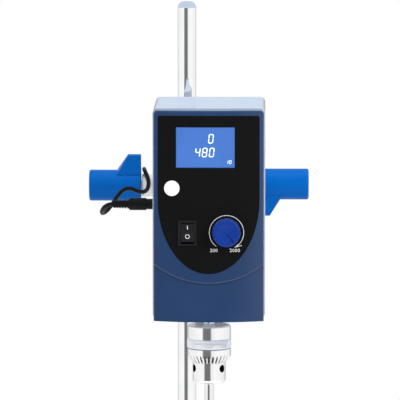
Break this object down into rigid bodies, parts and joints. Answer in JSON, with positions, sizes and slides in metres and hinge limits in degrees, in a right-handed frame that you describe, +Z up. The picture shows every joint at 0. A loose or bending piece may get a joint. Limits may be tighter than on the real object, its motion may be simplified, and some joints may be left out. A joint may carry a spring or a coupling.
{
  "type": "overhead stirrer",
  "caption": "Overhead laboratory stirrer: box drive head with display, dial and keyed chuck, clamped to a plate stand, with shaft, propeller and power lead.",
  "frame": {"origin": "on the bench, under the middle of the base plate", "axes": "+Z up, the head's front faces -Y, +X to the right when looking at the front"},
  "size_m": [0.2104, 0.4122, 0.692],
  "materials": {
    "base_grey": "satin",
    "mat_rubber": "matt",
    "rod_chrome": "polished",
    "bolt_steel": "satin",
    "clamp_cream": "satin",
    "pad_brass": "satin",
    "knob_blue": "gloss",
    "arm_steel": "satin",
    "housing_white": "gloss",
    "cover_blue": "semi-gloss",
    "panel_black": "satin",
    "lens_clear": "gloss",
    "lcd_blue": "lit",
    "board_green": "satin",
    "switch_black": "semi-gloss",
    "button_white": "gloss",
    "dial_blue": "semi-gloss",
    "shaft_steel": "polished",
    "motor_steel": "satin",
    "winding_copper": "satin",
    "chuck_chrome": "polished",
    "jaw_steel": "satin",
    "seal_black": "matt",
    "cord_black": "satin",
    "plug_black": "satin",
    "pin_brass": "bright"
  },
  "bodies": {
    "stand": {"base_plate": "base_grey", "rubber_mat": "mat_rubber", "stand_rod": "rod_chrome", "rod_bolt": "bolt_steel", "lower_cord": "cord_black", "cord_coil": "cord_black", "tail_cord": "cord_black", "power_adapter": "plug_black", "adapter_pins": "pin_brass"},
    "cross_clamp": {"clamp_body": "clamp_cream"},
    "left_clamp_pad": {"left_pad": "pad_brass"},
    "left_clamp_knob": {"left_screw": "bolt_steel", "left_knob": "knob_blue"},
    "right_clamp_pad": {"right_pad": "pad_brass"},
    "right_clamp_knob": {"right_screw": "bolt_steel", "right_knob": "knob_blue"},
    "head": {"support_arm": "arm_steel", "arm_flange": "arm_steel", "arm_screws": "bolt_steel", "arm_backing": "motor_steel", "rear_housing": "housing_white", "case_screws": "bolt_steel", "front_cover": "cover_blue", "control_panel": "panel_black", "display_lens": "lens_clear", "lcd_module": "lcd_blue", "control_board": "board_green", "tact_switch": "switch_black", "encoder_body": "motor_steel", "switch_frame": "switch_black", "motor_can": "motor_steel", "stator": "winding_copper", "bearing_outer": "jaw_steel", "shaft_seal": "seal_black", "dc_jack": "motor_steel", "dc_plug": "plug_black", "plug_relief": "plug_black", "upper_cord": "cord_black"},
    "run_stop": {"run_stop_button": "button_white"},
    "dial_plunger": {"encoder_plunger": "bolt_steel"},
    "dial": {"dial_shaft": "bolt_steel", "speed_knob": "dial_blue"},
    "power_rocker": {"rocker": "switch_black"},
    "spindle_train": {"spindle": "shaft_steel", "rotor": "jaw_steel", "bearing_inner": "jaw_steel", "chuck_body": "chuck_chrome", "stirring_shaft": "shaft_steel", "propeller": "shaft_steel", "propeller_screw": "bolt_steel"},
    "chuck_ring": {"chuck_sleeve": "chuck_chrome", "chuck_nut": "jaw_steel"},
    "jaw_1": {"chuck_jaw_1": "jaw_steel"},
    "jaw_2": {"chuck_jaw_2": "jaw_steel"},
    "jaw_3": {"chuck_jaw_3": "jaw_steel"}
  },
  "joints": [
    {"name": "height_slide", "type": "slide", "parent": "stand", "child": "cross_clamp", "axis": [0, 0, 1], "range_m": [-0.035, 0.1], "deforming": ["lower_cord"]},
    {"name": "reach_slide", "type": "slide", "parent": "cross_clamp", "child": "head", "axis": [0, 1, 0], "range_m": [-0.045, 0.01], "deforming": ["upper_cord"]},
    {"name": "left_pad_slide", "type": "slide", "parent": "cross_clamp", "child": "left_clamp_pad", "axis": [-1, 0, 0], "range_m": [0, 0.00125]},
    {"name": "left_knob_turn", "type": "hinge", "parent": "left_clamp_pad", "child": "left_clamp_knob", "pos_m": [0, 0.14, 0.5315], "axis": [-1, 0, 0], "range_deg": [0, 360]},
    {"name": "right_pad_slide", "type": "slide", "parent": "cross_clamp", "child": "right_clamp_pad", "axis": [1, 0, 0], "range_m": [0, 0.00125]},
    {"name": "right_knob_turn", "type": "hinge", "parent": "right_clamp_pad", "child": "right_clamp_knob", "pos_m": [0.021, 0.152, 0.5315], "axis": [1, 0, 0], "range_deg": [0, 360]},
    {"name": "run_stop_press", "type": "slide", "parent": "head", "child": "run_stop", "axis": [0, 1, 0], "range_m": [0, 0.0005], "stiffness_N_per_m": 800, "springref_m": -0.0005},
    {"name": "dial_press", "type": "slide", "parent": "head", "child": "dial_plunger", "axis": [0, 1, 0], "range_m": [0, 0.0005], "stiffness_N_per_m": 2500, "springref_m": -0.0005},
    {"name": "dial_turn", "type": "hinge", "parent": "dial_plunger", "child": "dial", "pos_m": [0.0358, -0.052, 0.511], "axis": [0, -1, 0], "continuous": true},
    {"name": "power_rocker_tilt", "type": "hinge", "parent": "head", "child": "power_rocker", "pos_m": [0.0035, -0.04304, 0.5101], "axis": [1, 0, 0], "range_deg": [0, 15]},
    {"name": "spindle_spin", "type": "hinge", "parent": "head", "child": "spindle_train", "pos_m": [0.021, 0, 0.43], "axis": [0, 0, 1], "continuous": true},
    {"name": "chuck_ring_turn", "type": "hinge", "parent": "spindle_train", "child": "chuck_ring", "pos_m": [0.021, 0, 0.406], "axis": [0, 0, -1], "range_deg": [0, 1070]},
    {"name": "jaw_1_slide", "type": "slide", "parent": "spindle_train", "child": "jaw_1", "axis": [-0.0302, -0.2571, 0.9659], "range_m": [0, 0.0038]},
    {"name": "jaw_2_slide", "type": "slide", "parent": "spindle_train", "child": "jaw_2", "axis": [0.2377, 0.1024, 0.9659], "range_m": [0, 0.0038]},
    {"name": "jaw_3_slide", "type": "slide", "parent": "spindle_train", "child": "jaw_3", "axis": [-0.2075, 0.1547, 0.9659], "range_m": [0, 0.0038]}
  ],
  "couplings": [
    {"joint": "left_knob_turn", "follows": "left_pad_slide", "rad_per_m": 5026.5},
    {"joint": "right_knob_turn", "follows": "right_pad_slide", "rad_per_m": 5026.5},
    {"joint": "jaw_1_slide", "follows": "chuck_ring_turn", "m_per_rad": 0.00020213},
    {"joint": "jaw_2_slide", "follows": "chuck_ring_turn", "m_per_rad": 0.00020213},
    {"joint": "jaw_3_slide", "follows": "chuck_ring_turn", "m_per_rad": 0.00020213}
  ]
}
